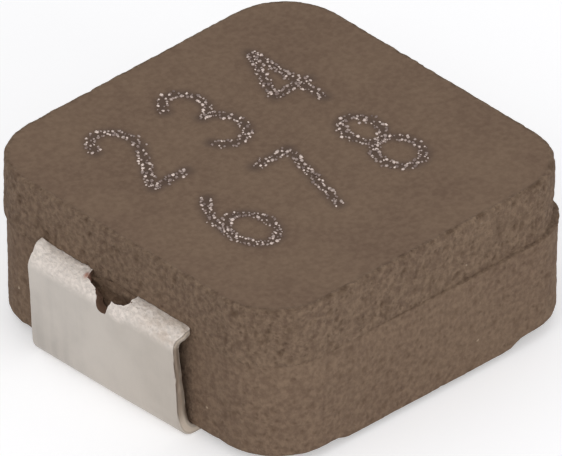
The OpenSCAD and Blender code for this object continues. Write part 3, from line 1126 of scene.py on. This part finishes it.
class INDUCTOR_OT_set_stage(bpy.types.Operator):
    """Make the floor, the soft lamps, the white surroundings and the camera"""

    bl_idname = "inductor.set_stage"
    bl_label = "Set the Stage"

    def execute(self, context):
        """Builds all that is round the part."""
        settings = context.scene.inductor_stage
        self.make_floor(settings)
        self.make_world(context.scene)
        self.make_lamps()
        self.make_camera(context.scene, settings)
        context.scene.view_settings.view_transform = "Standard"
        return {"FINISHED"}

    def make_floor(self, settings):
        """Plain pale floor that keeps the shadow of the part."""
        reach = 40 * MM
        below = 0.002 * MM
        corners = [(x * reach, y * reach, -below) for x, y in ((-1, -1), (1, -1), (1, 1), (-1, 1))]
        mesh = bpy.data.meshes.new("floor")
        mesh.from_pydata(corners, [], [(0, 1, 2, 3)])
        floor = new_object("floor", mesh)
        material = bpy.data.materials.new("floor")
        sheet = empty_sheet(material)
        paper = sheet.add("ShaderNodeBsdfDiffuse", {"Color": settings.floor})
        lift = sheet.add("ShaderNodeEmission", {"Color": (1, 1, 1, 1), "Strength": 0.36})
        seen = self.seen_rays(sheet)
        nothing = sheet.add("ShaderNodeEmission", {"Strength": 0.0})
        extra = sheet.add("ShaderNodeMixShader", {0: seen, 1: nothing.outputs[0], 2: lift.outputs[0]})
        both = sheet.add("ShaderNodeAddShader", {0: paper.outputs[0], 1: extra.outputs[0]})
        sheet.add("ShaderNodeOutputMaterial", {"Surface": both.outputs[0]})
        mesh.materials.append(material)

    def seen_rays(self, sheet):
        """1 for rays from the camera, from gloss and from glass, and 0 for the rest."""
        path = sheet.add("ShaderNodeLightPath")
        gloss = sheet.math("MAXIMUM", path.outputs["Is Glossy Ray"], path.outputs["Is Transmission Ray"])
        return sheet.math("MAXIMUM", path.outputs["Is Camera Ray"], gloss)

    def make_world(self, scene):
        """White surroundings, dimmer as a light than as a background."""
        world = bpy.data.worlds.new("surroundings")
        sheet = empty_sheet(world)
        ambient = sheet.add("ShaderNodeBackground", {"Color": (1, 1, 1, 1), "Strength": 0.62})
        white = sheet.add("ShaderNodeBackground", {"Color": (1, 1, 1, 1), "Strength": 1.0})
        chosen = sheet.add(
            "ShaderNodeMixShader", {0: self.seen_rays(sheet), 1: ambient.outputs[0], 2: white.outputs[0]}
        )
        sheet.add("ShaderNodeOutputWorld", {"Surface": chosen.outputs[0]})
        scene.world = world

    def make_lamps(self):
        """Two broad soft lamps: a high one on the camera's left and a low one on its right."""
        middle = (CAD_BOX[0] + CAD_BOX[1]) / 2
        for name, azimuth, elevation, glow in (("key", -66, 42, 1.46), ("fill", -8, 14, 2.0)):
            lamp = bpy.data.lights.new(name, "AREA")
            lamp.shape = "DISK"
            lamp.size = 60 * MM
            area = math.pi * (lamp.size / 2) ** 2
            lamp.energy = glow * math.pi * area
            holder = new_object(name, lamp)
            towards = direction_from(math.radians(azimuth), math.radians(elevation))
            holder.location = middle + towards * 90 * MM
            holder.rotation_mode = "QUATERNION"
            holder.rotation_quaternion = towards.to_track_quat("Z", "Y")

    def make_camera(self, scene, settings):
        """Parallel view down at the corner between the left end and the front."""
        camera = bpy.data.cameras.new("camera")
        camera.type = "ORTHO"
        camera.ortho_scale = settings.view_width
        holder = new_object("camera", camera)
        back = direction_from(settings.azimuth, settings.elevation)
        distance = 4 * settings.view_width
        holder.location = Vector(settings.aim) + back * distance
        holder.rotation_mode = "QUATERNION"
        holder.rotation_quaternion = back.to_track_quat("Z", "Y")
        camera.clip_start, camera.clip_end = distance / 100, distance * 10
        scene.camera = holder


def direction_from(azimuth, elevation):
    """Direction from the part towards a viewer at that azimuth and elevation."""
    level = math.cos(elevation)
    return Vector((math.sin(azimuth) * level, -math.cos(azimuth) * level, math.sin(elevation)))


STEPS = (
    INDUCTOR_OT_press_block,
    INDUCTOR_OT_fold_strips,
    INDUCTOR_OT_burn_marking,
    INDUCTOR_OT_enamel_coil,
    INDUCTOR_OT_set_stage,
)


class INDUCTOR_PT_panel(bpy.types.Panel):
    """Panel with the steps that dress the inductor"""

    bl_label = "Inductor"
    bl_idname = "INDUCTOR_PT_panel"
    bl_space_type = "VIEW_3D"
    bl_region_type = "UI"
    bl_category = "Inductor"

    def draw(self, context):
        """Lists one button for each step."""
        for step in STEPS:
            self.layout.operator(step.bl_idname)


SETTINGS = {
    "inductor_powder": PowderSettings,
    "inductor_strip": StripSettings,
    "inductor_marking": MarkingSettings,
    "inductor_stage": StageSettings,
}


def register():
    """Registers the settings, the steps and the panel."""
    for key, group in SETTINGS.items():
        bpy.utils.register_class(group)
        setattr(bpy.types.Scene, key, bpy.props.PointerProperty(type=group))
    for cls in (*STEPS, INDUCTOR_PT_panel):
        bpy.utils.register_class(cls)


def unregister():
    """Takes back all that register() did."""
    for cls in (INDUCTOR_PT_panel, *reversed(STEPS)):
        bpy.utils.unregister_class(cls)
    for key, group in reversed(SETTINGS.items()):
        delattr(bpy.types.Scene, key)
        bpy.utils.unregister_class(group)


def main():
    """Dresses the part step by step."""
    register()
    bpy.ops.inductor.press_block()
    bpy.ops.inductor.fold_strips()
    bpy.ops.inductor.burn_marking()
    bpy.ops.inductor.enamel_coil()
    bpy.ops.inductor.set_stage()


if __name__ == "__main__":
    main()
